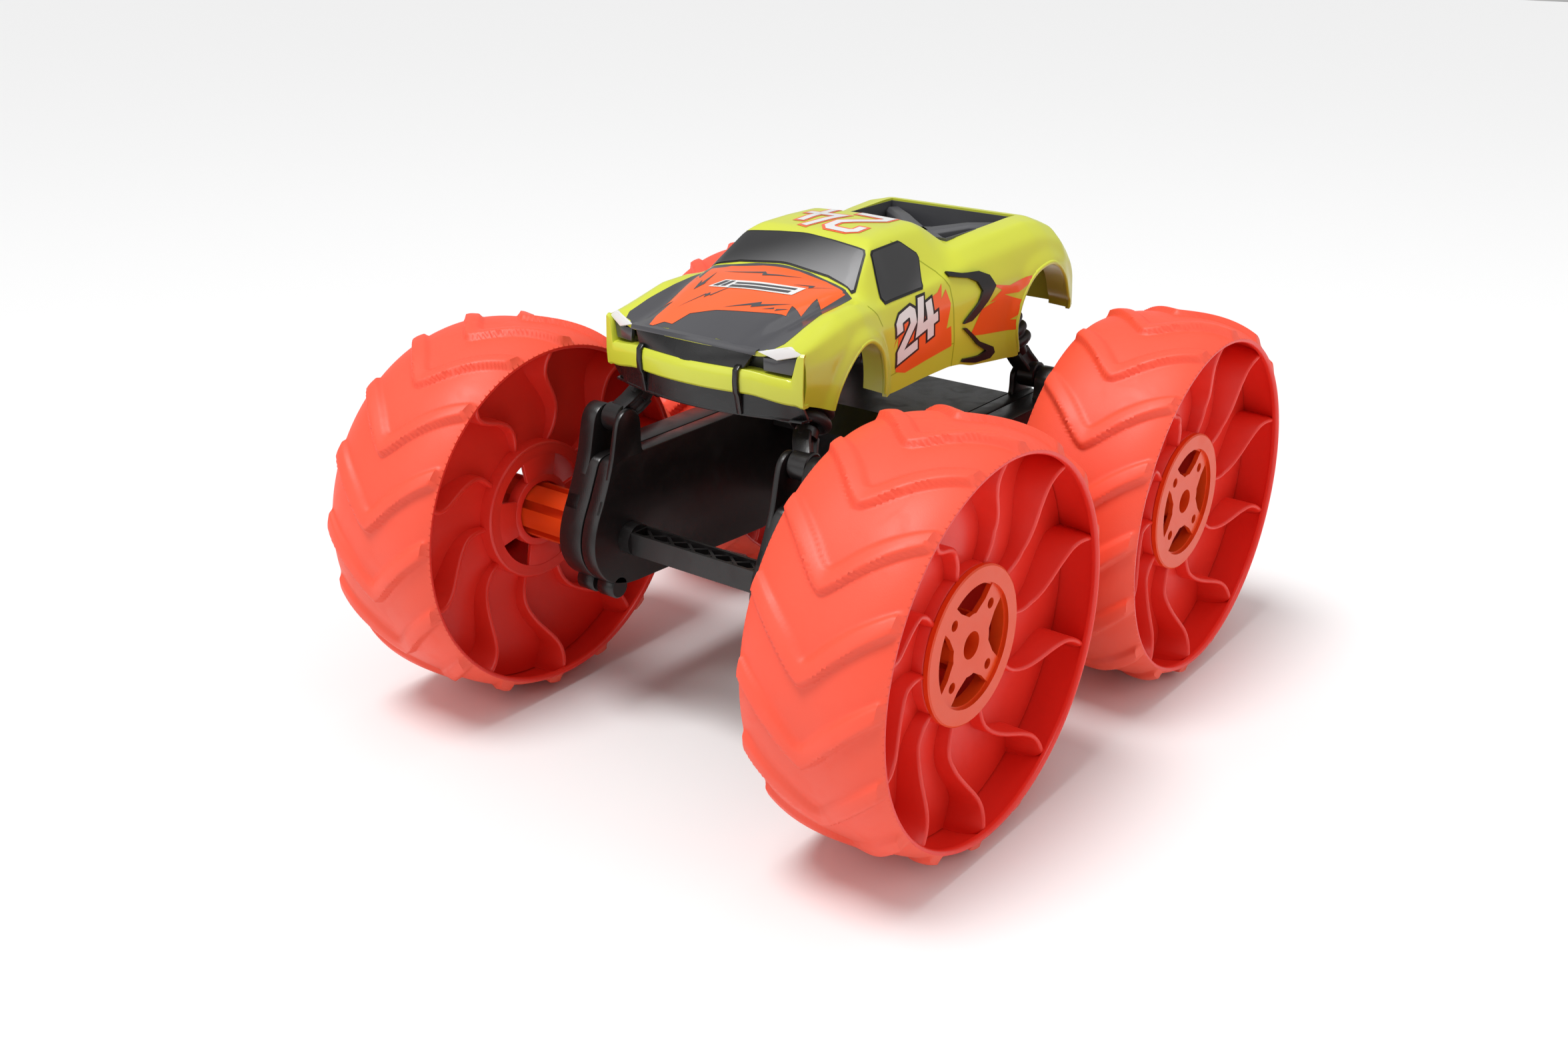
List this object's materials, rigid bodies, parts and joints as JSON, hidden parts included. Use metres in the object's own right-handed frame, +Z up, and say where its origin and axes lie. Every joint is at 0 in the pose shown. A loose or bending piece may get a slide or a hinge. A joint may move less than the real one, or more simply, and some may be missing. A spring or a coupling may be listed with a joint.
{
  "type": "remote control stunt truck",
  "caption": "Radio-controlled stunt truck: pickup shell on leaning shock boots over twin gear-case rails, with four oversized bladed drum wheels that turn in side pairs.",
  "frame": {"origin": "on the floor under the middle of the vehicle, halfway between the axles", "axes": "+X towards the vehicle's nose, +Y to the vehicle's left, +Z up; wheels stand on Z=0"},
  "size_m": [0.3098, 0.2486, 0.1847],
  "materials": {
    "lime_plastic": "satin moulded yellow-green shell",
    "dark_glazing": "glossy dark printed glazing",
    "lamp_print": "pale and black lamp print",
    "grey_plastic": "dark grey satin",
    "black_plastic": "satin moulded black",
    "black_rubber": "soft dust boots",
    "coral_plastic": "soft moulded coral red",
    "orange_plastic": "satin moulded orange",
    "ivory_gear_plastic": "natural gear plastic",
    "brass": "machined",
    "steel": "drawn and zinc plated",
    "motor_can": "plated can",
    "board_green": "solder mask",
    "cell_wrap": "shrink wrap"
  },
  "bodies": {
    "chassis": {"rail_left_outer": "black_plastic", "rail_left_inner": "black_plastic", "rail_right_outer": "black_plastic", "rail_right_inner": "black_plastic", "tub_base": "black_plastic", "deck_cover": "black_plastic", "front_cross_tube": "black_plastic", "rear_cross_tube": "black_plastic", "battery_door": "black_plastic", "battery_pack": "cell_wrap", "circuit_board": "board_green", "drive_motors": "motor_can", "gear_pins": "steel", "chassis_screws": "steel", "shock_pins": "steel"},
    "car_body": {"body_shell": "lime_plastic", "windshield": "dark_glazing", "side_windows": "dark_glazing", "grille_insert": "black_plastic", "headlights": "lamp_print", "bumper_guard": "black_plastic", "side_vents": "black_plastic", "bed_insert": "grey_plastic", "body_frame": "black_plastic", "body_screws": "steel", "shock_boot_front_left": "black_rubber", "shock_boot_front_right": "black_rubber", "shock_boot_rear_left": "black_rubber", "shock_boot_rear_right": "black_rubber"},
    "front_left_wheel": {"wheel_front_left": "coral_plastic", "hub_axle_front_left": "orange_plastic", "output_gear_front_left": "ivory_gear_plastic"},
    "front_right_wheel": {"wheel_front_right": "coral_plastic", "hub_axle_front_right": "orange_plastic", "output_gear_front_right": "ivory_gear_plastic"},
    "rear_left_wheel": {"wheel_rear_left": "coral_plastic", "hub_axle_rear_left": "orange_plastic", "output_gear_rear_left": "ivory_gear_plastic"},
    "rear_right_wheel": {"wheel_rear_right": "coral_plastic", "hub_axle_rear_right": "orange_plastic", "output_gear_rear_right": "ivory_gear_plastic"},
    "idler_left_1": {"idler_gear_left_1": "ivory_gear_plastic"},
    "idler_left_2": {"idler_gear_left_2": "ivory_gear_plastic"},
    "idler_left_3": {"idler_gear_left_3": "ivory_gear_plastic"},
    "idler_left_4": {"idler_gear_left_4": "ivory_gear_plastic"},
    "idler_left_5": {"idler_gear_left_5": "ivory_gear_plastic"},
    "pinion_left_body": {"pinion_left": "brass"},
    "idler_right_1": {"idler_gear_right_1": "ivory_gear_plastic"},
    "idler_right_2": {"idler_gear_right_2": "ivory_gear_plastic"},
    "idler_right_3": {"idler_gear_right_3": "ivory_gear_plastic"},
    "idler_right_4": {"idler_gear_right_4": "ivory_gear_plastic"},
    "idler_right_5": {"idler_gear_right_5": "ivory_gear_plastic"},
    "pinion_right_body": {"pinion_right": "brass"},
    "shock_front_left": {"shock_rod_front_left": "black_plastic"},
    "shock_front_right": {"shock_rod_front_right": "black_plastic"},
    "shock_rear_left": {"shock_rod_rear_left": "black_plastic"},
    "shock_rear_right": {"shock_rod_rear_right": "black_plastic"},
    "switch_knob": {"power_switch": "black_plastic"}
  },
  "joints": [
    {"name": "front_left_spin", "type": "hinge", "parent": "chassis", "child": "front_left_wheel", "pos_m": [0.081, 0.0974, 0.07357], "axis": [0, 1, 0], "continuous": true},
    {"name": "front_right_spin", "type": "hinge", "parent": "chassis", "child": "front_right_wheel", "pos_m": [0.081, -0.0974, 0.07357], "axis": [0, 1, 0], "continuous": true},
    {"name": "rear_left_spin", "type": "hinge", "parent": "chassis", "child": "rear_left_wheel", "pos_m": [-0.081, 0.0974, 0.07357], "axis": [0, 1, 0], "continuous": true},
    {"name": "rear_right_spin", "type": "hinge", "parent": "chassis", "child": "rear_right_wheel", "pos_m": [-0.081, -0.0974, 0.07357], "axis": [0, 1, 0], "continuous": true},
    {"name": "idler_left_1_spin", "type": "hinge", "parent": "chassis", "child": "idler_left_1", "pos_m": [0.054, 0.0475, 0.07357], "axis": [0, 1, 0], "continuous": true},
    {"name": "idler_left_2_spin", "type": "hinge", "parent": "chassis", "child": "idler_left_2", "pos_m": [0.027, 0.0475, 0.07357], "axis": [0, 1, 0], "continuous": true},
    {"name": "idler_left_3_spin", "type": "hinge", "parent": "chassis", "child": "idler_left_3", "pos_m": [0, 0.0475, 0.07357], "axis": [0, 1, 0], "continuous": true},
    {"name": "idler_left_4_spin", "type": "hinge", "parent": "chassis", "child": "idler_left_4", "pos_m": [-0.027, 0.0475, 0.07357], "axis": [0, 1, 0], "continuous": true},
    {"name": "idler_left_5_spin", "type": "hinge", "parent": "chassis", "child": "idler_left_5", "pos_m": [-0.054, 0.0475, 0.07357], "axis": [0, 1, 0], "continuous": true},
    {"name": "pinion_left_spin", "type": "hinge", "parent": "chassis", "child": "pinion_left_body", "pos_m": [-0.054, 0.0475, 0.09207], "axis": [0, 1, 0], "continuous": true},
    {"name": "idler_right_1_spin", "type": "hinge", "parent": "chassis", "child": "idler_right_1", "pos_m": [0.054, -0.0475, 0.07357], "axis": [0, 1, 0], "continuous": true},
    {"name": "idler_right_2_spin", "type": "hinge", "parent": "chassis", "child": "idler_right_2", "pos_m": [0.027, -0.0475, 0.07357], "axis": [0, 1, 0], "continuous": true},
    {"name": "idler_right_3_spin", "type": "hinge", "parent": "chassis", "child": "idler_right_3", "pos_m": [0, -0.0475, 0.07357], "axis": [0, 1, 0], "continuous": true},
    {"name": "idler_right_4_spin", "type": "hinge", "parent": "chassis", "child": "idler_right_4", "pos_m": [-0.027, -0.0475, 0.07357], "axis": [0, 1, 0], "continuous": true},
    {"name": "idler_right_5_spin", "type": "hinge", "parent": "chassis", "child": "idler_right_5", "pos_m": [-0.054, -0.0475, 0.07357], "axis": [0, 1, 0], "continuous": true},
    {"name": "pinion_right_spin", "type": "hinge", "parent": "chassis", "child": "pinion_right_body", "pos_m": [-0.054, -0.0475, 0.09207], "axis": [0, 1, 0], "continuous": true},
    {"name": "body_heave", "type": "slide", "parent": "chassis", "child": "car_body", "axis": [0, 0, 1], "range_m": [-0.003, 0], "stiffness_N_per_m": 400, "springref_m": 0.014},
    {"name": "shock_front_left_swing", "type": "hinge", "parent": "chassis", "child": "shock_front_left", "pos_m": [0.0774, 0.0402, 0.11837], "axis": [0, 1, 0], "range_deg": [-2.7, 0]},
    {"name": "shock_front_right_swing", "type": "hinge", "parent": "chassis", "child": "shock_front_right", "pos_m": [0.0774, -0.0402, 0.11837], "axis": [0, 1, 0], "range_deg": [-2.7, 0]},
    {"name": "shock_rear_left_swing", "type": "hinge", "parent": "chassis", "child": "shock_rear_left", "pos_m": [-0.078, 0.0402, 0.11397], "axis": [0, 1, 0], "range_deg": [0, 1.7]},
    {"name": "shock_rear_right_swing", "type": "hinge", "parent": "chassis", "child": "shock_rear_right", "pos_m": [-0.078, -0.0402, 0.11397], "axis": [0, 1, 0], "range_deg": [0, 1.7]},
    {"name": "power_switch_slide", "type": "slide", "parent": "chassis", "child": "switch_knob", "axis": [0, 1, 0], "range_m": [0, 0.005]}
  ],
  "couplings": [
    {"joint": "idler_left_1_spin", "follows": "front_left_spin", "ratio": -1},
    {"joint": "idler_left_2_spin", "follows": "front_left_spin", "ratio": 1},
    {"joint": "idler_left_3_spin", "follows": "front_left_spin", "ratio": -1},
    {"joint": "idler_left_4_spin", "follows": "front_left_spin", "ratio": 1},
    {"joint": "idler_left_5_spin", "follows": "front_left_spin", "ratio": -1},
    {"joint": "pinion_left_spin", "follows": "front_left_spin", "ratio": 2.7},
    {"joint": "rear_left_spin", "follows": "front_left_spin", "ratio": 1},
    {"joint": "idler_right_1_spin", "follows": "front_right_spin", "ratio": -1},
    {"joint": "idler_right_2_spin", "follows": "front_right_spin", "ratio": 1},
    {"joint": "idler_right_3_spin", "follows": "front_right_spin", "ratio": -1},
    {"joint": "idler_right_4_spin", "follows": "front_right_spin", "ratio": 1},
    {"joint": "idler_right_5_spin", "follows": "front_right_spin", "ratio": -1},
    {"joint": "pinion_right_spin", "follows": "front_right_spin", "ratio": 2.7},
    {"joint": "rear_right_spin", "follows": "front_right_spin", "ratio": 1},
    {"joint": "shock_front_left_swing", "follows": "body_heave", "rad_per_m": 14.9},
    {"joint": "shock_front_right_swing", "follows": "body_heave", "rad_per_m": 14.9},
    {"joint": "shock_rear_left_swing", "follows": "body_heave", "rad_per_m": -9.3},
    {"joint": "shock_rear_right_swing", "follows": "body_heave", "rad_per_m": -9.3}
  ]
}
